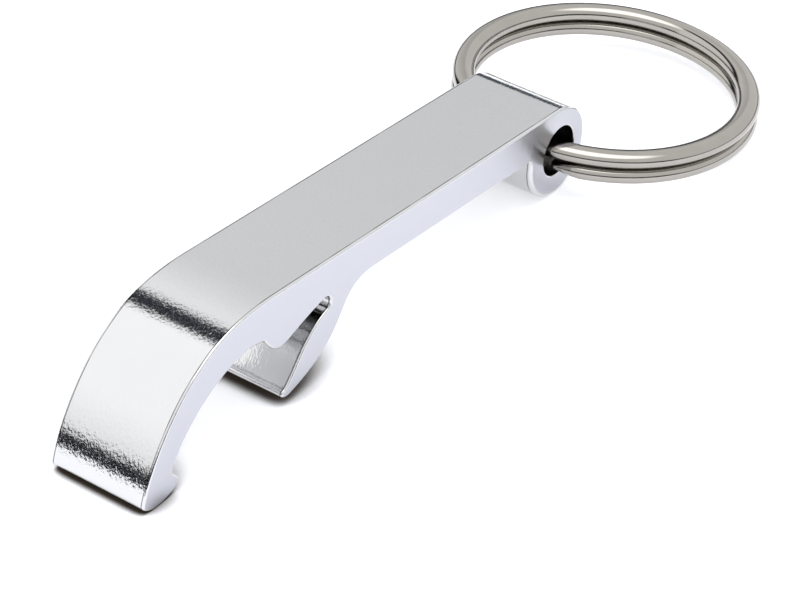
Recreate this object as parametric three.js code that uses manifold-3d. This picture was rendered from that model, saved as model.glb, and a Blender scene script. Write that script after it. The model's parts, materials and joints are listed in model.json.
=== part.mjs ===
// Keychain bottle opener: one extruded aluminium opener and the steel split ring
// that swings in its eyelet. Millimetres, +Z up.
//
// The opener is drawn on its side in a blade frame: x runs from the hook's tip towards
// the eyelet, z = 0 is the blade's flat top and the blade's width lies along y. The blade
// frame is then tilted so that the hook's tip and the eyelet's lobe stand on z = 0.
import * as THREE from 'three';
import { mergeVertices } from 'three/addons/utils/BufferGeometryUtils.js';
import Module from 'manifold-3d';

const wasm = await Module();
wasm.setup();

// Opener
const WIDTH = 10;
const BLADE_THICKNESS = 3.75;
const EDGE_BREAK = 0.2;
const EDGE_BREAK_STEPS = 2;
const CURVE_STEPS = 11;
const HOOK_TOP_END = 16.3;
const TOP_END = 58.7;
const LIFTER_ROOT = 30.3;
const TIP_START = [-0.2, -12.55];
const SLOT_END = { x: 23.4, z: -4.45, radius: 0.75, from: -60, to: 113 };

// Eyelet: a round lobe, and a cross bore a little nearer to its outer end
const LOBE = { x: 59.2, z: -4.8, radius: 4.5, from: 60 };
const LOBE_FILLET = 1;
const BORE_X = 59.65;
const BORE_Z = -4.85;
const BORE_RADIUS = 2.5;
const DISH_RADIUS = 5.8;
const DISH_DEPTH = 0.25;
const BORE_SIDES = 64;

// Split ring: one wire wound in two turns
const RING_DIAMETER = 30;
const WIRE_RADIAL = 2.2;
const WIRE_AXIAL = 1.56;
const WIRE_CORNER = 0.6;
const TURN_PITCH = 1.64;
const WIRE_START = 198;
const WIRE_SWEEP = 694;
const CROSSOVER_START = 532;
const CROSSOVER_END = 556;
const STEPS_PER_TURN = 80;

// How the ring lies in the eyelet's clearance: turned and rocked a little sideways, low in
// the bore, its far side raised a little from the blade's own slope
const RING_YAW = -6;
const RING_ROCK = 1.7;
const RING_RISE = 1;
const RING_INSET = 0.65;
const RING_DROP = 0.3;

const radians = THREE.MathUtils.degToRad;

function onCircle(circle, degrees) {
  const angle = radians(degrees);
  return [circle.x + circle.radius * Math.cos(angle), circle.z + circle.radius * Math.sin(angle)];
}

// The side view of the opener, as one closed outline.
function openerOutline() {
  const outline = new THREE.Shape();
  const curve = (a, b, end) => outline.bezierCurveTo(...a, ...b, ...end);
  const bend = (a, end) => outline.quadraticCurveTo(...a, ...end);
  outline.moveTo(...TIP_START);

  // the hook's outer face and the flat top
  curve([0.45, -9.6], [3.1, -5], [6.08, -2.95]);
  curve([7.39, -2.05], [9.48, 0], [HOOK_TOP_END, 0]);
  outline.lineTo(TOP_END, 0);

  // the lobe round the eyelet, with a fillet where it meets the underside; the top's end
  // turns down on to the lobe along their tangents
  const [startX, startZ] = onCircle(LOBE, LOBE.from);
  bend([startX + startZ * Math.tan(radians(LOBE.from)), 0], [startX, startZ]);
  const filletReach = LOBE.radius + LOBE_FILLET;
  const filletZ = -BLADE_THICKNESS - LOBE_FILLET;
  const filletX = LOBE.x - Math.sqrt(filletReach ** 2 - (filletZ - LOBE.z) ** 2);
  const lobeEnd = Math.atan2(filletZ - LOBE.z, filletX - LOBE.x);
  outline.absarc(LOBE.x, LOBE.z, LOBE.radius, radians(LOBE.from), lobeEnd, true);
  outline.absarc(filletX, filletZ, LOBE_FILLET, lobeEnd + Math.PI, Math.PI / 2, false);

  // the underside and the lifter that hangs from it
  outline.lineTo(LIFTER_ROOT, -BLADE_THICKNESS);
  curve([24.45, -BLADE_THICKNESS], [27.89, -8.42], [19.2, -11.3]);
  curve([18.5, -11.6], [17.7, -11.35], [17.88, -10.9]);
  curve([17.92, -10.78], [18, -10.74], [18.15, -10.65]);

  // the slot above the lifter
  curve([19.6, -9.7], [20.6, -6.3], onCircle(SLOT_END, SLOT_END.from));
  outline.absarc(
    SLOT_END.x, SLOT_END.z, SLOT_END.radius, radians(SLOT_END.from), radians(SLOT_END.to), false);
  curve([20.38, -4.51], [18.3, -5.7], [17.53, -5.74]);

  // the bump and the notch that bear on a cap's top
  curve([16.49, -5.79], [16.12, -5.41], [15.2, -4.27]);
  bend([14.95, -3.92], [14.5, -3.93]);

  // the hook's inner face, its notch and its tooth
  curve([10.9, -3.05], [5.05, -7], [3.5, -10.8]);
  bend([3.4, -11.15], [3.7, -11.45]);
  outline.lineTo(4.05, -11.78);
  bend([4.35, -12.05], [4.25, -12.35]);

  // the hook's rounded tip
  curve([3.85, -13.3], [1.6, -13.76], [0.85, -13.55]);
  curve([0.2, -13.4], [-0.32, -13.1], TIP_START);
  return outline;
}

function toSolid(geometry) {
  geometry.deleteAttribute('normal');
  geometry.deleteAttribute('uv');
  const merged = mergeVertices(geometry, 1e-5);
  return new wasm.Manifold(new wasm.Mesh({
    numProp: 3,
    vertProperties: merged.attributes.position.array,
    triVerts: new Uint32Array(merged.index.array),
  }));
}

function toGeometry(solid) {
  const mesh = solid.getMesh();
  const geometry = new THREE.BufferGeometry();
  geometry.setAttribute('position', new THREE.BufferAttribute(mesh.vertProperties, 3));
  geometry.setIndex(new THREE.BufferAttribute(mesh.triVerts, 1));
  geometry.computeVertexNormals();
  return geometry;
}

// A cutter for the eyelet: the bore, opening at both faces into a shallow dish.
function eyeletCutter() {
  const face = WIDTH / 2;
  const dishSlope = (DISH_RADIUS - BORE_RADIUS) / DISH_DEPTH;
  const beyond = 0.3;
  const outside = [DISH_RADIUS + beyond * dishSlope, face + beyond];
  const bottom = [BORE_RADIUS, face - DISH_DEPTH];
  const profile = [
    [0, -outside[1]],
    [outside[0], -outside[1]],
    [bottom[0], -bottom[1]],
    bottom,
    outside,
    [0, outside[1]],
  ];
  const cutter = new THREE.LatheGeometry(profile.map((p) => new THREE.Vector2(...p)), BORE_SIDES);
  cutter.translate(BORE_X, 0, BORE_Z);
  return cutter;
}

function openerBody() {
  const blank = new THREE.ExtrudeGeometry(openerOutline(), {
    depth: WIDTH - 2 * EDGE_BREAK,
    curveSegments: CURVE_STEPS,
    bevelThickness: EDGE_BREAK,
    bevelSize: EDGE_BREAK,
    bevelOffset: -EDGE_BREAK,
    bevelSegments: EDGE_BREAK_STEPS,
  });
  blank.rotateX(Math.PI / 2);
  blank.translate(0, WIDTH / 2 - EDGE_BREAK, 0);
  const geometry = toGeometry(toSolid(blank).subtract(toSolid(eyeletCutter())));
  const aluminium = new THREE.MeshStandardMaterial({ color: 0xcfd1d6, roughness: 0.3, metalness: 1 });
  const mesh = new THREE.Mesh(geometry, aluminium);
  mesh.name = 'opener_body';
  return mesh;
}

// The split ring's wire: a lower turn, a crossover, and an upper turn, round the z axis.
class RingWire extends THREE.Curve {
  constructor() {
    super();
    this.radius = (RING_DIAMETER - WIRE_RADIAL) / 2;
  }

  angle(t) {
    return WIRE_START + WIRE_SWEEP * t;
  }

  getPoint(t) {
    const degrees = this.angle(t);
    const climb = THREE.MathUtils.smoothstep(degrees, CROSSOVER_START, CROSSOVER_END) - 0.5;
    const a = radians(degrees);
    return new THREE.Vector3(
      this.radius * Math.cos(a), this.radius * Math.sin(a), climb * TURN_PITCH);
  }

  // The wire's section stays square to the ring's plane all the way round.
  computeFrenetFrames(segments) {
    const frames = { tangents: [], normals: [], binormals: [] };
    for (let i = 0; i <= segments; i += 1) {
      const t = this.getUtoTmapping(i / segments);
      const a = radians(this.angle(t));
      const inward = new THREE.Vector3(-Math.cos(a), -Math.sin(a), 0);
      const tangent = this.getTangent(t);
      frames.tangents.push(tangent);
      frames.normals.push(new THREE.Vector3().crossVectors(inward, tangent).normalize());
      frames.binormals.push(inward);
    }
    return frames;
  }
}

function wireSection() {
  const halfAxial = WIRE_AXIAL / 2;
  const halfRadial = WIRE_RADIAL / 2;
  const section = new THREE.Shape();
  const corners = [[1, 1, 0], [-1, 1, 90], [-1, -1, 180], [1, -1, 270]];
  for (const [sx, sy, start] of corners) {
    const x = sx * (halfAxial - WIRE_CORNER);
    const y = sy * (halfRadial - WIRE_CORNER);
    section.absarc(x, y, WIRE_CORNER, radians(start), radians(start + 90), false);
  }
  return section;
}

function splitRing() {
  const geometry = new THREE.ExtrudeGeometry(wireSection(), {
    extrudePath: new RingWire(),
    steps: Math.round(STEPS_PER_TURN * WIRE_SWEEP / 360),
    curveSegments: 1,
  });
  const nickel = new THREE.MeshStandardMaterial({ color: 0xb9b4ac, roughness: 0.15, metalness: 1 });
  const mesh = new THREE.Mesh(geometry, nickel);
  mesh.name = 'split_ring';
  mesh.position.set((RING_DIAMETER - WIRE_RADIAL) / 2 - RING_INSET, 0, -RING_DROP);
  mesh.rotation.x = radians(RING_ROCK);
  const hung = new THREE.Group();
  hung.add(mesh);
  hung.rotation.set(0, -radians(RING_RISE), radians(RING_YAW));
  hung.position.set(BORE_X, 0, BORE_Z);
  return hung;
}

// The tilt at which a line under the hook's tip is also tangent to the lobe.
function standingTilt() {
  const slopes = openerOutline().getPoints(CURVE_STEPS)
    .filter((p) => p.x < LIFTER_ROOT / 2)
    .map((p) => {
      const reach = Math.hypot(LOBE.x - p.x, LOBE.z - p.y);
      return Math.atan2(LOBE.z - p.y, LOBE.x - p.x) - Math.asin(LOBE.radius / reach);
    });
  return Math.max(...slopes);
}

const blade = new THREE.Group();
blade.add(openerBody(), splitRing());
blade.rotation.y = standingTilt();

// The origin is the middle of the assembly's footprint, on the surface it stands on.
const group = new THREE.Group();
group.add(blade);
group.updateMatrixWorld(true);
const extent = new THREE.Box3().setFromObject(group, true);
const middle = extent.getCenter(new THREE.Vector3());
blade.position.set(-middle.x, -middle.y, -extent.min.z);

export default group;
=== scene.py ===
import json
import math

import bmesh
import bpy
import numpy as np
from mathutils import Matrix, Vector
from mathutils.geometry import delaunay_2d_cdt


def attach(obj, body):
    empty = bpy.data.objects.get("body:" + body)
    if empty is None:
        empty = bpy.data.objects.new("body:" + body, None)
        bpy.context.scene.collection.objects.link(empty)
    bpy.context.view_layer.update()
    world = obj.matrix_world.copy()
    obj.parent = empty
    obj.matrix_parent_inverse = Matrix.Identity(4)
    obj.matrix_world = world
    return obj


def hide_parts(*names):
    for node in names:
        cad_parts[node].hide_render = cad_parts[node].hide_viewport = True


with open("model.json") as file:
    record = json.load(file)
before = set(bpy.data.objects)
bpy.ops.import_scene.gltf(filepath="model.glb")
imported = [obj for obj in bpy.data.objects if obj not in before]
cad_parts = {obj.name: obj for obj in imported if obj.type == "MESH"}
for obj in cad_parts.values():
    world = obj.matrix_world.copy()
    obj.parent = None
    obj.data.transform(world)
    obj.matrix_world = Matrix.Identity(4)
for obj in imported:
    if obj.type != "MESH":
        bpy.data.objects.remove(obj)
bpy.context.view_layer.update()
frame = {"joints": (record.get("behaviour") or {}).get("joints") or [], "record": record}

# Shapes are worked out in millimetres and stored in metres.
MM = 0.001

# The opener's side view, in the blade frame: x runs from the hook's tip towards the
# eyelet, z = 0 is the blade's flat top and the width lies along y. Angles are in degrees.
WIDTH = 10.0
BLADE_THICKNESS = 3.75
HOOK_TOP_END = 16.3
TOP_END = 58.7
LIFTER_ROOT = 30.3
TIP_START = (-0.2, -12.55)
SLOT_END, SLOT_RADIUS, SLOT_FROM, SLOT_TO = (23.4, -4.45), 0.75, -60, 113
LOBE, LOBE_RADIUS, LOBE_FROM, LOBE_FILLET = (59.2, -4.8), 4.5, 60, 1.0

# The eyelet's cross bore, with a rounded mouth and a shallow dish round each mouth
BORE, BORE_RADIUS, MOUTH_ROUND = (59.65, -4.85), 2.5, 0.16
DISH_RADIUS, DISH_DEPTH, DISH_POWER = 5.8, 0.25, 1.5

# The tumbled edges. The lobe's rounding is wider, and sets in over these spans along x and
# down from the top. No edge takes more than a share of its corner's own radius.
EDGE_ROUND, LOBE_EDGE_ROUND = 0.2, 0.42
LOBE_EDGE_ALONG = (LOBE[0] - LOBE_RADIUS - 2, LOBE[0] - LOBE_RADIUS + 0.5)
LOBE_EDGE_DOWN = (BLADE_THICKNESS - 2.5, BLADE_THICKNESS + 1)
EDGE_SHARE_OF_CORNER = 0.65
EDGE_SMOOTHINGS = 6

# How finely the opener's mesh follows its outline, edges, width and dishes. The skin has
# an extra row EDGE_LINE inside its border, for the painted dark reflection line along the edge.
STRAIGHT_STEP = 0.5
CURVED_STEP = 0.16
TURN_STEP = math.radians(4)
OUTLINE_SAMPLES = 128
EDGE_STEPS = 6
EDGE_LINE = 0.14
ACROSS_STEPS = 8
BORE_SIDES = 128
DISH_RING_START, DISH_RING_GAP, DISH_RING_SPILL = 0.2, 0.24, 0.3
DISH_POINT_GAP, DISH_POINT_CLEARANCE = 0.3, 0.14

# What the side_face attribute says of a vertex: on the skin, an edge or a flat side
ON_SKIN, ON_EDGE, ON_SIDE = 0, 0.5, 1

# The split ring: one wire wound in two turns round its local z axis, in degrees
RING_DIAMETER = 30.0
WIRE_RADIAL, WIRE_AXIAL = 2.2, 1.6
WIRE_SQUARENESS = 2.15
TURN_PITCH = 1.64
WIRE_START, WIRE_SWEEP = 198, 694
CROSSOVER_START, CROSSOVER_END = 532, 556
WIRE_STEPS_PER_TURN = 360
WIRE_SIDES = 56
END_TAPER, END_HEIGHT, END_WIDTH, END_NOSE = 3.2, 0.5, 0.6, 0.25
NOSE_STEPS = 8
WIRE_LOOP_RADIUS = (RING_DIAMETER - WIRE_RADIAL) / 2

# How the ring lies in the eyelet's clearance
RING_YAW, RING_ROCK, RING_RISE = -6, 1.7, 1
RING_INSET, RING_DROP = 0.65, 0.3


def smoothstep(value, low, high):
    t = np.clip((value - low) / (high - low), 0, 1)
    return t * t * (3 - 2 * t)


def blade_to_row():
    """The blade frame in the row frame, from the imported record's top face and hinge."""
    top = next(m for m in frame["record"]["mounts"] if m["name"] == "blade_top")
    tilt = math.atan2(top["axis"][0], top["axis"][2])
    hinge = Vector(frame["joints"][0]["pos_m"])
    bore = Vector((BORE[0], 0, BORE[1])) * MM
    return Matrix.Translation(hinge) @ Matrix.Rotation(tilt, 4, "Y") @ Matrix.Translation(-bore)


# --------------------------------------------------- the opener's outline


def on_circle(centre, radius, angle):
    return np.array([centre[0] + radius * math.cos(angle), centre[1] + radius * math.sin(angle)])


class Outline:
    """A closed line in (x, z), sampled more finely where it turns."""

    def __init__(self, start):
        self.points = [np.array(start, float)]

    def run(self, point_at, step):
        """Follows point_at from 0 to 1, with points a step or a turn step apart."""
        share = np.linspace(0, 1, OUTLINE_SAMPLES + 1)
        fine = np.array([point_at(t) for t in share])
        steps = np.diff(fine, axis=0)
        heading = np.unwrap(np.arctan2(steps[:, 1], steps[:, 0]))
        turning = np.abs(np.diff(heading, prepend=heading[0]))
        cost = np.hypot(*steps.T) / step + turning / TURN_STEP
        spent = np.concatenate([[0], np.cumsum(cost)])
        count = max(1, math.ceil(spent[-1]))
        stops = np.interp(np.linspace(0, spent[-1], count + 1)[1:], spent, share)
        self.points += [np.array(point_at(t)) for t in stops]

    def line(self, end):
        start = self.points[-1]
        self.run(lambda t: start + (np.array(end) - start) * t, STRAIGHT_STEP)

    def bend(self, handle, end):
        a, b, c = self.points[-1], np.array(handle), np.array(end)
        self.run(lambda t: a * (1 - t) ** 2 + 2 * b * t * (1 - t) + c * t * t, CURVED_STEP)

    def curve(self, first, second, end):
        a, b, c, d = self.points[-1], np.array(first), np.array(second), np.array(end)

        def point_at(t):
            s = 1 - t
            return a * s**3 + 3 * b * s * s * t + 3 * c * s * t * t + d * t**3

        self.run(point_at, CURVED_STEP)

    def arc(self, centre, radius, start, end):
        self.run(lambda t: on_circle(centre, radius, start + (end - start) * t), CURVED_STEP)

    def closed(self):
        return np.array(self.points[:-1])


def draw_hook_and_top(path):
    """The hook's outer face and the blade's flat top."""
    path.curve((0.45, -9.6), (3.1, -5), (6.08, -2.95))
    path.curve((7.39, -2.05), (9.48, 0), (HOOK_TOP_END, 0))
    path.line((TOP_END, 0))


def draw_lobe(path):
    """The lobe round the eyelet, and the fillet where it meets the underside."""
    lobe_from = math.radians(LOBE_FROM)
    start = on_circle(LOBE, LOBE_RADIUS, lobe_from)
    path.bend((start[0] + start[1] * math.tan(lobe_from), 0), start)
    reach = LOBE_RADIUS + LOBE_FILLET
    fillet_z = -BLADE_THICKNESS - LOBE_FILLET
    fillet_x = LOBE[0] - math.sqrt(reach**2 - (fillet_z - LOBE[1]) ** 2)
    lobe_end = math.atan2(fillet_z - LOBE[1], fillet_x - LOBE[0])
    path.arc(LOBE, LOBE_RADIUS, lobe_from, lobe_end - math.tau)
    path.arc((fillet_x, fillet_z), LOBE_FILLET, lobe_end - math.pi, math.pi / 2)


def draw_lifter(path):
    """The underside, the lifter that hangs from it and the lifter's tip."""
    path.line((LIFTER_ROOT, -BLADE_THICKNESS))
    path.curve((24.45, -BLADE_THICKNESS), (27.89, -8.42), (19.2, -11.3))
    path.curve((18.5, -11.6), (17.7, -11.35), (17.88, -10.9))
    path.curve((17.92, -10.78), (18, -10.74), (18.15, -10.65))


def draw_slot_and_notch(path):
    """The slot above the lifter, and the bump and notch that bear on a cap's top."""
    slot_from, slot_to = math.radians(SLOT_FROM), math.radians(SLOT_TO)
    path.curve((19.6, -9.7), (20.6, -6.3), on_circle(SLOT_END, SLOT_RADIUS, slot_from))
    path.arc(SLOT_END, SLOT_RADIUS, slot_from, slot_to)
    path.curve((20.38, -4.51), (18.3, -5.7), (17.53, -5.74))
    path.curve((16.49, -5.79), (16.12, -5.41), (15.2, -4.27))
    path.bend((14.95, -3.92), (14.5, -3.93))


def draw_hook_inside(path):
    """The hook's inner face, its tooth and its rounded tip."""
    path.curve((10.9, -3.05), (5.05, -7), (3.5, -10.8))
    path.bend((3.4, -11.15), (3.7, -11.45))
    path.line((4.05, -11.78))
    path.bend((4.35, -12.05), (4.25, -12.35))
    path.curve((3.85, -13.3), (1.6, -13.76), (0.85, -13.55))
    path.curve((0.2, -13.4), (-0.32, -13.1), TIP_START)


def opener_outline():
    """The opener's side view, clockwise from the hook's tip."""
    path = Outline(TIP_START)
    draw_hook_and_top(path)
    draw_lobe(path)
    draw_lifter(path)
    draw_slot_and_notch(path)
    draw_hook_inside(path)
    return path.closed()


def outline_normals(points):
    """Outward unit normals of a closed outline that runs clockwise in (x, z)."""
    ahead = np.roll(points, -1, axis=0) - points
    ahead /= np.linalg.norm(ahead, axis=1)[:, None]
    along = ahead + np.roll(ahead, 1, axis=0)
    along /= np.linalg.norm(along, axis=1)[:, None]
    return np.stack([-along[:, 1], along[:, 0]], axis=1)


def edge_radii(points, normals):
    """The rounding of the side edge at each outline point: wider on the lobe, and never
    more than a tight corner can hold."""
    on_lobe = smoothstep(points[:, 0], *LOBE_EDGE_ALONG)
    below = smoothstep(-points[:, 1], *LOBE_EDGE_DOWN)
    radii = EDGE_ROUND + (LOBE_EDGE_ROUND - EDGE_ROUND) * on_lobe * below
    gap = np.roll(points, -1, axis=0) - np.roll(points, 1, axis=0)
    ahead, behind = np.roll(normals, -1, axis=0), np.roll(normals, 1, axis=0)
    turn = ahead[:, 0] * behind[:, 1] - ahead[:, 1] * behind[:, 0]
    tightness = np.clip(turn / np.linalg.norm(gap, axis=1), 1e-6, None)
    radii = np.minimum(radii, EDGE_SHARE_OF_CORNER / tightness)
    for _ in range(EDGE_SMOOTHINGS):
        radii = (np.roll(radii, 1) + 2 * radii + np.roll(radii, -1)) / 4
    return radii


# ------------------------------------------------------ the opener's mesh


def dish(points):
    """Depth of the dish under the side face, and its slope along x and z."""
    away = points - np.array(BORE)
    distance = np.maximum(np.linalg.norm(away, axis=1), 1e-9)
    share = np.clip((DISH_RADIUS - distance) / (DISH_RADIUS - BORE_RADIUS), 0, 1)
    depth = DISH_DEPTH * share**DISH_POWER
    slope = -DISH_DEPTH * DISH_POWER * share ** (DISH_POWER - 1) / (DISH_RADIUS - BORE_RADIUS)
    return depth, away / distance[:, None] * slope[:, None]


def inside(points, loop):
    """True for each point that a closed loop holds."""
    x, z = points[:, 0][:, None], points[:, 1][:, None]
    ax, az = loop[:, 0], loop[:, 1]
    bx, bz = np.roll(ax, -1), np.roll(az, -1)
    crosses = (az > z) != (bz > z)
    reach = ax + (z - az) * (bx - ax) / np.where(bz == az, 1e-12, bz - az)
    return (np.sum(crosses & (x < reach), axis=1) % 2) == 1


def dish_rings(loop):
    """Points on circles round the bore, clear of the side face's own edge."""
    first, last = BORE_RADIUS + MOUTH_ROUND + DISH_RING_START, DISH_RADIUS + DISH_RING_SPILL
    found = []
    for radius in np.arange(first, last, DISH_RING_GAP):
        count = int(math.tau * radius / DISH_POINT_GAP)
        found += [on_circle(BORE, radius, math.tau * i / count) for i in range(count)]
    found = np.array(found)
    nearest = np.linalg.norm(found[:, None] - loop[None], axis=2).min(axis=1)
    return found[(nearest > DISH_POINT_CLEARANCE) & inside(found, loop)]


def side_triangles(loop, hole, extra):
    """Triangles of a side face, numbered along loop, then hole, then extra."""
    points = np.vstack([loop, hole, extra])
    n, m = len(loop), len(hole)
    edges = [(i, (i + 1) % n) for i in range(n)]
    edges += [(n + i, n + (i + 1) % m) for i in range(m)]
    vertices = [Vector(p) for p in points]
    _, _, faces, sources, *_ = delaunay_2d_cdt(vertices, edges, [], 0, 1e-7, True)
    faces = np.array([[sources[v][0] for v in face] for face in faces])
    middle = points[faces].mean(axis=1)
    return faces[inside(middle, loop) & ~inside(middle, hole)]


class Builder:
    """Gathers vertices with their normals and tags, and faces, for one mesh."""

    def __init__(self):
        self.positions, self.normals, self.tags, self.faces = [], [], [], []

    def row(self, plane, y, normals, tag):
        """Adds a row of vertices: (x, z) points at y. Returns their numbers."""
        first = sum(len(p) for p in self.positions)
        self.positions.append(in_space(plane, y))
        self.normals.append(normals / np.linalg.norm(normals, axis=1)[:, None])
        self.tags.append(np.full(len(plane), float(tag)))
        return np.arange(first, first + len(plane))

    def bands(self, rows):
        """Quads between each closed row and the next, all of the same length."""
        for a, b in zip(rows, rows[1:]):
            self.faces += np.stack([a, np.roll(a, -1), np.roll(b, -1), b], axis=1).tolist()


def in_space(plane_vectors, y):
    """(x, z) vectors with a y part."""
    y = np.broadcast_to(y, len(plane_vectors))
    return np.stack([plane_vectors[:, 0], y, plane_vectors[:, 1]], axis=1)


def quarter_turn(step):
    return step / EDGE_STEPS * math.pi / 2


def rounded_edge(build, points, normals, radii, side):
    """Rows round one side's edge, from the outline to the flat face."""
    rows = []
    for step in range(EDGE_STEPS + 1):
        a = quarter_turn(step)
        plane = points - normals * (radii * (1 - math.cos(a)))[:, None]
        depth, slope = dish(plane)
        y = side * (WIDTH / 2 - radii * (1 - math.sin(a)) - depth)
        n = in_space(normals, 0) * math.cos(a) + in_space(slope, side) * math.sin(a)
        rows.append(build.row(plane, y, n, ON_SIDE if step == EDGE_STEPS else ON_EDGE))
    build.bands(rows)
    return rows


def bore_mouth(build, side):
    """Rows round one mouth of the bore, from its rim on the flat face to the bore's wall.
    Returns the rows and the rim."""
    turns = np.arange(BORE_SIDES) / BORE_SIDES * math.tau
    out = np.stack([np.cos(turns), np.sin(turns)], axis=1)
    rim = np.array(BORE) + out * (BORE_RADIUS + MOUTH_ROUND)
    depth, slope = dish(rim)
    rows = []
    for step in range(EDGE_STEPS + 1):
        a = quarter_turn(step)
        plane = np.array(BORE) + out * (BORE_RADIUS + MOUTH_ROUND * (1 - math.sin(a)))
        y = side * (WIDTH / 2 - depth - MOUTH_ROUND * (1 - math.cos(a)))
        n = in_space(slope, side) * math.cos(a) + in_space(-out, 0) * math.sin(a)
        rows.append(build.row(plane, y, n, ON_EDGE if step else ON_SIDE))
    build.bands(rows)
    return rows, rim


def opener_side(build, points, normals, radii, side):
    """One side's rounded edge, bore mouth and flat face. side is -1 (near) or 1 (far).
    Returns the row on the outline and the row in the bore."""
    edge = rounded_edge(build, points, normals, radii, side)
    mouth, rim = bore_mouth(build, side)
    loop = points - normals * radii[:, None]
    extra = dish_rings(loop)
    depth, slope = dish(extra)
    inner = build.row(extra, side * (WIDTH / 2 - depth), in_space(slope, side), ON_SIDE)
    numbers = np.concatenate([edge[-1], mouth[0], inner])
    build.faces += numbers[side_triangles(loop, rim, extra)].tolist()
    return edge[0], mouth[-1]


def opener_mesh():
    """The whole opener as one closed mesh in the blade frame."""
    points = opener_outline()
    normals = outline_normals(points)
    radii = edge_radii(points, normals)
    build = Builder()
    near, near_bore = opener_side(build, points, normals, radii, -1)
    far, far_bore = opener_side(build, points, normals, radii, 1)
    depth, _ = dish(points)
    reach = WIDTH / 2 - radii - depth
    shares = [2 * step / ACROSS_STEPS - 1 for step in range(1, ACROSS_STEPS)]
    places = [EDGE_LINE - reach] + [reach * share for share in shares] + [reach - EDGE_LINE]
    skin = [build.row(points, y, in_space(normals, 0), ON_SKIN) for y in places]
    build.bands([near] + skin + [far])
    build.bands([near_bore, far_bore])
    return build


# -------------------------------------------------------- the ring's mesh


def wire_section():
    """A superellipse, as (radial, axial) points: a drawn wire with full, rounded flats."""
    turns = np.arange(WIRE_SIDES) / WIRE_SIDES * math.tau
    power = 2 / WIRE_SQUARENESS
    c, s = np.cos(turns), np.sin(turns)
    radial = np.sign(c) * np.abs(c) ** power * WIRE_RADIAL / 2
    axial = np.sign(s) * np.abs(s) ** power * WIRE_AXIAL / 2
    return np.stack([radial, axial], axis=1)


def wire_stops():
    """Degrees along the winding for each section, closer together on the ends' noses."""
    count = round(WIRE_STEPS_PER_TURN * WIRE_SWEEP / 360)
    body = np.linspace(0, WIRE_SWEEP, count + 1)
    nose = math.degrees(END_NOSE / WIRE_LOOP_RADIUS)
    lead = nose * (1 - np.cos(np.linspace(0, math.pi / 2, NOSE_STEPS + 1)[1:]))
    return np.unique(np.concatenate([lead, body[body > nose], WIRE_SWEEP - lead]))


def wire_row(section, at):
    """The section's points at so many degrees along the winding."""
    a = math.radians(WIRE_START + at)
    climb = float(smoothstep(WIRE_START + at, CROSSOVER_START, CROSSOVER_END)) - 0.5
    to_end = math.radians(min(at, WIRE_SWEEP - at)) * WIRE_LOOP_RADIUS
    taper = float(smoothstep(to_end, 0, END_TAPER))
    blunt = math.sqrt(max(0.0, 1 - max(0.0, 1 - to_end / END_NOSE) ** 2))
    wide = (END_WIDTH + (1 - END_WIDTH) * taper) * blunt
    high = (END_HEIGHT + (1 - END_HEIGHT) * taper) * blunt
    radial = WIRE_LOOP_RADIUS + section[:, 0] * wide
    axial = climb * TURN_PITCH + section[:, 1] * high
    return np.stack([radial * math.cos(a), radial * math.sin(a), axial], axis=1)


def ring_mesh():
    """The two turns of the wire as one closed tube in the ring's own frame."""
    section = wire_section()
    rows = [wire_row(section, at) for at in wire_stops()]
    points = np.vstack(rows + [rows[0].mean(axis=0), rows[-1].mean(axis=0)])
    around = np.arange(WIRE_SIDES)
    beside = np.roll(around, -1)
    faces = []
    for first in range(0, (len(rows) - 1) * WIRE_SIDES, WIRE_SIDES):
        a, b = first + around, first + beside
        faces += np.stack([a, b, b + WIRE_SIDES, a + WIRE_SIDES], axis=1).tolist()
    last = (len(rows) - 1) * WIRE_SIDES
    for i, j in zip(around.tolist(), beside.tolist()):
        faces.append([j, i, len(points) - 2])
        faces.append([last + i, last + j, len(points) - 1])
    return points, faces


# ------------------------------------------------------------- the pieces


def new_object(name, points, faces, matrix):
    """A smooth mesh object from points in millimetres in a frame of its own, its faces
    turned outwards. The own_place attribute keeps the own frame for the materials."""
    own = np.asarray(points, float) * MM
    turn, shift = np.array(matrix.to_3x3()), np.array(matrix.translation)
    mesh = bpy.data.meshes.new(name)
    mesh.from_pydata((own @ turn.T + shift).tolist(), [], faces)
    work = bmesh.new()
    work.from_mesh(mesh)
    bmesh.ops.recalc_face_normals(work, faces=work.faces)
    work.to_mesh(mesh)
    work.free()
    mesh.polygons.foreach_set("use_smooth", [True] * len(mesh.polygons))
    place = mesh.attributes.new("own_place", "FLOAT_VECTOR", "POINT")
    place.data.foreach_set("vector", own.astype(np.float32).ravel())
    obj = bpy.data.objects.new(name, mesh)
    bpy.context.scene.collection.objects.link(obj)
    return obj


def make_opener(blade):
    build = opener_mesh()
    opener = new_object("opener_extrusion", np.vstack(build.positions), build.faces, blade)
    normals = np.vstack(build.normals) @ np.array(blade.to_3x3()).T
    opener.data.normals_split_custom_set_from_vertices(normals.tolist())
    tag = opener.data.attributes.new("side_face", "FLOAT", "POINT")
    tag.data.foreach_set("value", np.concatenate(build.tags).astype(np.float32))
    opener.data.materials.append(aluminium())
    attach(opener, "opener")
    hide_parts("opener_body")


def make_ring(blade):
    hung = Matrix.Translation(Vector((BORE[0], 0, BORE[1])) * MM)
    hung = hung @ Matrix.Rotation(-math.radians(RING_RISE), 4, "Y")
    hung = hung @ Matrix.Rotation(math.radians(RING_YAW), 4, "Z")
    lie = Matrix.Translation(Vector((WIRE_LOOP_RADIUS - RING_INSET, 0, -RING_DROP)) * MM)
    lie = lie @ Matrix.Rotation(math.radians(RING_ROCK), 4, "X")
    points, faces = ring_mesh()
    ring = new_object("split_ring_wire", points, faces, blade @ hung @ lie)
    ring.data.materials.append(nickel())
    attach(ring, "ring")
    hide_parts("split_ring")


# ------------------------------------------------------------- materials

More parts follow.
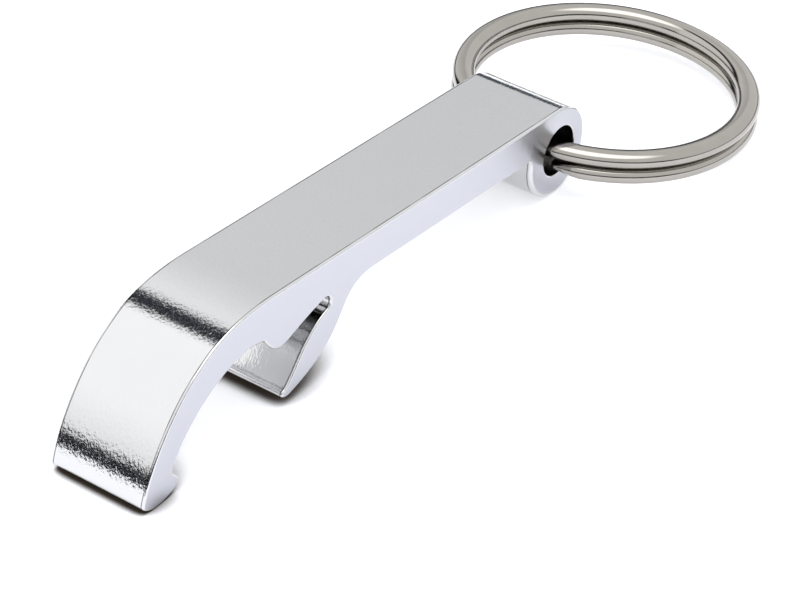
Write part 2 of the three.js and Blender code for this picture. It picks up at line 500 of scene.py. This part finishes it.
# Noise scales are per metre, bump heights in metres and colours linear RGBA. A pair is a
# range: low then high.
PEEL_STRETCH, PEEL_SCALE, PEEL_HEIGHT = (0.65, 1.0, 0.65), 3700, 0.000018
GRIT_STRETCH, GRIT_SCALE, GRIT_HEIGHT = (1.0, 0.8, 1.0), 9000, 0.000002
SWELL_SCALE, SWELL_HEIGHT = 500, 0.000005
ALUMINIUM_CLOUD_SCALE = 260
SKIN_TINTS = (0.575, 0.576, 0.579, 1), (0.59, 0.591, 0.595, 1)
# Painted reflection: the flat sides' tint is bluish and darker than the skin's, standing in for
# their reflection of a bluish floor.
PAINTED_SIDE_REFLECTION_TINT = (0.469, 0.474, 0.514, 1)
SKIN_ROUGHNESS = (0.07, 0.11)
SIDE_EXTRA_ROUGHNESS = 0.14
SIDE_BUMP_SHARE = 0.15
# Painted reflection: a dark line along the skin's border, deeper in patches, standing in for the
# rounded edge's reflection of a dark horizon.
PAINTED_EDGE_REFLECTION_TINT = (0.03, 0.03, 0.035, 1)
PAINTED_EDGE_REFLECTION_DEPTH, PAINTED_EDGE_REFLECTION_PATCHES = (0.5, 0.95), (0.35, 0.55)

# Spans of the side_face value: where the bumps fade and the metal dulls, where the sides'
# painted bluish reflection tint comes in, and where the painted dark reflection line along
# the edge comes in and goes out again
DULLING, PAINTED_SIDE_REFLECTION_SPAN = (0.4, ON_SIDE), (0.6, ON_SIDE)
PAINTED_EDGE_REFLECTION_IN, PAINTED_EDGE_REFLECTION_OUT = (0.05, 0.25), (ON_EDGE, 0.35)

# The values that a noise mostly keeps to
NOISE_SPREAD = (0.3, 0.7)

NICKEL_CLOUD_SCALE = 300
NICKEL_TINTS = (0.312, 0.295, 0.27, 1), (0.374, 0.357, 0.33, 1)
NICKEL_ROUGHNESS = (0.08, 0.14)
NICKEL_SWELL_SCALE, NICKEL_SWELL_HEIGHT = 420, 0.00001
DRAW_LINE_STRETCH, DRAW_LINE_SCALE, DRAW_LINE_HEIGHT = (0.15, 0.15, 1.0), 4000, 0.0000008

# The floor darkens where the object hangs close over it. The ring lies far along x, where
# that contact shade fades out.
FLOOR_REACH = 3000.0
FLOOR_GRAIN_SCALE = 900
FLOOR_TINTS = (0.83, 0.84, 0.88, 1), (0.85, 0.86, 0.90, 1)
FLOOR_SHADE = (0.06, 0.045, 0.035, 1)
FLOOR_GLOW = 0.4
SHADE_REACH, SHADE_SAMPLES = 0.006, 24
SHADE_RANGE = (0.36, 0.84)
SHADE_FADE_ALONG_X = (-0.01, 0.005)


class Graph:
    """A node tree that is written as nested calls."""

    def __init__(self, tree):
        self.tree = tree
        tree.nodes.clear()

    def plug(self, socket, value):
        """Links another node's output to the socket, or sets the socket's own value."""
        if isinstance(value, bpy.types.NodeSocket):
            self.tree.links.new(value, socket)
        else:
            socket.default_value = value

    def node(self, kind, inputs=None, **settings):
        node = self.tree.nodes.new(kind)
        for name, value in settings.items():
            setattr(node, name, value)
        for name, value in (inputs or {}).items():
            self.plug(node.inputs[name], value)
        return node

    def math(self, operation, a, b=0.0):
        return self.node("ShaderNodeMath", {0: a, 1: b}, operation=operation).outputs[0]

    def noise(self, vector, scale, detail=2.0, roughness=0.5):
        inputs = {"Vector": vector, "Scale": scale, "Detail": detail, "Roughness": roughness}
        return self.node("ShaderNodeTexNoise", inputs).outputs["Fac"]

    def remap(self, value, low, high, to_low=0.0, to_high=1.0, kind="SMOOTHSTEP"):
        inputs = {"Value": value, "From Min": low, "From Max": high}
        inputs |= {"To Min": to_low, "To Max": to_high}
        return self.node("ShaderNodeMapRange", inputs, interpolation_type=kind).outputs[0]

    def blend(self, share, a, b):
        """A number between a and b."""
        rest = self.math("MULTIPLY", a, self.math("SUBTRACT", 1.0, share))
        return self.math("ADD", rest, self.math("MULTIPLY", b, share))

    def mix(self, share, a, b):
        """A colour between a and b."""
        return self.node("ShaderNodeMix", {0: share, 6: a, 7: b}, data_type="RGBA").outputs[2]

    def attribute(self, name, output):
        return self.node("ShaderNodeAttribute", attribute_name=name).outputs[output]

    def place(self):
        """The piece's own coordinates."""
        return self.attribute("own_place", "Vector")

    def stretched(self, scale):
        """The piece's own coordinates, scaled by scale along each axis."""
        inputs = {"Vector": self.place(), "Scale": scale}
        return self.node("ShaderNodeMapping", inputs).outputs[0]

    def bump(self, height, distance, strength=1.0, normal=None):
        inputs = {"Height": height, "Distance": distance, "Strength": strength}
        if normal is not None:
            inputs["Normal"] = normal
        return self.node("ShaderNodeBump", inputs).outputs[0]


def new_material(name):
    """An empty material with a shader. Returns it, its graph and the shader."""
    material = bpy.data.materials.new(name)
    material.use_nodes = True
    graph = Graph(material.node_tree)
    shader = graph.node("ShaderNodeBsdfPrincipled")
    output = graph.node("ShaderNodeOutputMaterial")
    graph.plug(output.inputs[0], shader.outputs[0])
    return material, graph, shader


def connect(graph, shader, **values):
    """Sets or links the shader's sockets, named with _ for each space."""
    for name, value in values.items():
        graph.plug(shader.inputs[name.replace("_", " ")], value)


def aluminium_bumps(graph, side, grit):
    """Broad swells, then the skin's wrinkles and grit, which are faint on the sides."""
    peel = graph.noise(graph.stretched(PEEL_STRETCH), PEEL_SCALE, roughness=0.6)
    skin = graph.remap(side, *DULLING, 1.0, SIDE_BUMP_SHARE)
    swell = graph.noise(graph.place(), SWELL_SCALE, detail=1.0)
    normal = graph.bump(swell, SWELL_HEIGHT)
    normal = graph.bump(peel, PEEL_HEIGHT, skin, normal)
    return graph.bump(grit, GRIT_HEIGHT, skin, normal)


def aluminium_tint(graph, side):
    """The skin's tint, a painted bluish reflection tint on the sides, and a painted dark
    reflection line where the skin turns into the edge.
    """
    cloud = graph.noise(graph.place(), ALUMINIUM_CLOUD_SCALE, detail=3.0)
    tint = graph.mix(cloud, *SKIN_TINTS)
    # Painted reflection: the sides take a bluish, darker tint for their reflection of a bluish
    # floor.
    tint = graph.mix(graph.remap(side, *PAINTED_SIDE_REFLECTION_SPAN), tint, PAINTED_SIDE_REFLECTION_TINT)
    # Painted reflection: a dark line along the skin's border for the rounded edge's reflection
    # of a dark horizon.
    line = graph.math("MULTIPLY", graph.remap(side, *PAINTED_EDGE_REFLECTION_IN), graph.remap(side, *PAINTED_EDGE_REFLECTION_OUT))
    patches = graph.remap(cloud, *PAINTED_EDGE_REFLECTION_PATCHES, *PAINTED_EDGE_REFLECTION_DEPTH)
    line = graph.math("MULTIPLY", line, patches)
    return graph.mix(line, tint, PAINTED_EDGE_REFLECTION_TINT)


def aluminium():
    """Bright anodised extrusion: an orange peel of fine wrinkles on the drawn skin, and
    smoother, duller tumbled sides."""
    material, graph, shader = new_material("bright_anodised_aluminium")
    side = graph.attribute("side_face", "Fac")
    grit = graph.noise(graph.stretched(GRIT_STRETCH), GRIT_SCALE, detail=1.0)
    normal = aluminium_bumps(graph, side, grit)
    tint = aluminium_tint(graph, side)
    rough = graph.remap(grit, *NOISE_SPREAD, *SKIN_ROUGHNESS)
    dull = graph.remap(side, *DULLING, 0.0, SIDE_EXTRA_ROUGHNESS)
    rough = graph.math("ADD", rough, dull)
    connect(graph, shader, Base_Color=tint, Metallic=1.0, Roughness=rough, Normal=normal)
    return material


def nickel():
    """Polished nickel plate over drawn wire: faint draw lines and a warm grey tone."""
    material, graph, shader = new_material("polished_nickel")
    cloud = graph.noise(graph.place(), NICKEL_CLOUD_SCALE, detail=3.0)
    tint = graph.mix(cloud, *NICKEL_TINTS)
    lines = graph.noise(graph.stretched(DRAW_LINE_STRETCH), DRAW_LINE_SCALE)
    swell = graph.noise(graph.place(), NICKEL_SWELL_SCALE, detail=1.0)
    normal = graph.bump(swell, NICKEL_SWELL_HEIGHT)
    normal = graph.bump(lines, DRAW_LINE_HEIGHT, 1.0, normal)
    rough = graph.remap(cloud, *NOISE_SPREAD, *NICKEL_ROUGHNESS)
    connect(graph, shader, Base_Color=tint, Metallic=1.0, Roughness=rough, Normal=normal)
    return material


def pale_floor():
    """A matt, faintly grained floor that glows a little where nothing shades it."""
    material, graph, shader = new_material("pale_floor")
    grain = graph.noise(graph.place(), FLOOR_GRAIN_SCALE)
    tint = graph.mix(grain, *FLOOR_TINTS)
    near = {"Distance": SHADE_REACH}
    reach = graph.node("ShaderNodeAmbientOcclusion", near, samples=SHADE_SAMPLES)
    open_share = graph.remap(reach.outputs["AO"], *SHADE_RANGE)
    x = graph.node("ShaderNodeSeparateXYZ", {0: graph.place()}).outputs[0]
    open_share = graph.math("MAXIMUM", open_share, graph.remap(x, *SHADE_FADE_ALONG_X))
    tint = graph.mix(open_share, FLOOR_SHADE, tint)
    glow = graph.math("MULTIPLY", open_share, FLOOR_GLOW)
    connect(graph, shader, Base_Color=tint, Roughness=0.9, Specular_IOR_Level=0.0)
    connect(graph, shader, Emission_Color=(1, 1, 1, 1), Emission_Strength=glow)
    return material


# ----------------------------------------------------------------- stage

# The studio surround: the brightness of each panel, and where it begins or changes, as
# parts of a direction's unit vector. x is to the right, y behind and z up.
WHITE_PANEL, WHITE_PANEL_Z = (1.27, 1.5), (0.15, 0.5)
GREY_PANEL, GREY_PANEL_X = (1.26, 0.87), (0.45, 0.8)
FRONT_TO_CEILING, CEILING_Z = (1.2, 3.3), (0.88, 0.96)
BACK_EDGE, BACK_EDGE_SOFTNESS = 0.41, 0.03
GAP_MIDDLE, GAP_EDGES = 0.2, (0.06, 0.17)
BACK_HORIZON, BACK_HORIZON_X, BACK_FADE = (0.155, 0.31), (0.7, 0.84), (-0.03, 0.03)
FRONT_HORIZON, FRONT_HORIZON_X, FRONT_FADE = (0.38, 0.2), (-0.3, 0.35), (-0.2, 0.03)

# What the dark stretches of the surround look like
LEFT_TONE, RIGHT_TONE, TONE_X = (0.014, 0.016, 0.021, 1), (0.12, 0.14, 0.16, 1), (0.3, 0.7)
GAP_TONE, GAP_TONE_Z = (0.03, 0.035, 0.045, 1), (0.1, 0.35)


def above_horizon(graph, level, x, z, horizon, horizon_x, fade):
    """The level above a horizon whose height changes along x, and nothing below it."""
    height = graph.remap(x, *horizon_x, *horizon)
    above = graph.remap(graph.math("SUBTRACT", z, height), *fade)
    return graph.math("MULTIPLY", level, above)


def back_panels(graph, x, z):
    """A white panel on the left and a grey one on the right, with a dark gap between."""
    white = graph.remap(z, *WHITE_PANEL_Z, *WHITE_PANEL)
    grey = graph.remap(x, *GREY_PANEL_X, *GREY_PANEL, "LINEAR")
    level = graph.blend(graph.math("GREATER_THAN", x, GAP_MIDDLE), white, grey)
    from_gap = graph.math("ABSOLUTE", graph.math("SUBTRACT", x, GAP_MIDDLE))
    level = graph.math("MULTIPLY", level, graph.remap(from_gap, *GAP_EDGES))
    return above_horizon(graph, level, x, z, BACK_HORIZON, BACK_HORIZON_X, BACK_FADE)


def front_panel(graph, x, z):
    """The bright front, and the brighter ceiling over it."""
    level = graph.remap(z, *CEILING_Z, *FRONT_TO_CEILING)
    return above_horizon(graph, level, x, z, FRONT_HORIZON, FRONT_HORIZON_X, FRONT_FADE)


def studio_light():
    """A surround of soft panels, dark down to the horizon."""
    world = bpy.data.worlds.new("studio")
    bpy.context.scene.world = world
    world.use_nodes = True
    graph = Graph(world.node_tree)
    direction = graph.node("ShaderNodeTexCoord").outputs["Generated"]
    parts = graph.node("ShaderNodeSeparateXYZ", {0: direction}).outputs
    x, y, z = parts[0], parts[1], parts[2]
    behind = graph.remap(y, BACK_EDGE - BACK_EDGE_SOFTNESS, BACK_EDGE + BACK_EDGE_SOFTNESS)
    level = graph.blend(behind, front_panel(graph, x, z), back_panels(graph, x, z))

    tone = graph.mix(graph.remap(x, *TONE_X), LEFT_TONE, RIGHT_TONE)
    tone = graph.mix(graph.remap(z, *GAP_TONE_Z), tone, GAP_TONE)
    colour = graph.node("ShaderNodeCombineXYZ", {0: level, 1: level, 2: level}).outputs[0]
    colour = graph.node("ShaderNodeVectorMath", {0: colour, 1: tone}, operation="ADD")
    light = graph.node("ShaderNodeBackground", {"Color": colour.outputs[0]})
    output = graph.node("ShaderNodeOutputWorld")
    graph.plug(output.inputs[0], light.outputs[0])


def make_floor():
    far = FLOOR_REACH
    corners = [(-far, -far, 0), (far, -far, 0), (far, far, 0), (-far, far, 0)]
    floor = new_object("studio_floor", corners, [[0, 1, 2, 3]], Matrix.Identity(4))
    floor.data.materials.append(pale_floor())


# The camera, by what it aims at and how it looks there, in metres and degrees
CAMERA_AIM = Vector((-0.0057, -0.0011, -0.0012))
CAMERA_DISTANCE = 0.2735
CAMERA_HEADING, CAMERA_DIP, CAMERA_ROLL = 54.55, 36.15, 1.635
CAMERA_LENS = 136.4


def make_camera():
    heading, dip = math.radians(CAMERA_HEADING), math.radians(CAMERA_DIP)
    flat = Vector((math.sin(heading), math.cos(heading), 0))
    forward = flat * math.cos(dip) - Vector((0, 0, math.sin(dip)))
    data = bpy.data.cameras.new("camera")
    data.lens = CAMERA_LENS
    data.clip_start, data.clip_end = 0.01, 20
    camera = bpy.data.objects.new("camera", data)
    bpy.context.scene.collection.objects.link(camera)
    roll = Matrix.Rotation(math.radians(CAMERA_ROLL), 3, "Z").to_quaternion()
    turn = forward.to_track_quat("-Z", "Y") @ roll
    camera.matrix_world = Matrix.LocRotScale(CAMERA_AIM - forward * CAMERA_DISTANCE, turn, None)
    bpy.context.scene.camera = camera


make_camera()
studio_light()
make_floor()
blade = blade_to_row()
make_opener(blade)
make_ring(blade)
bpy.context.scene.view_settings.view_transform = "Standard"
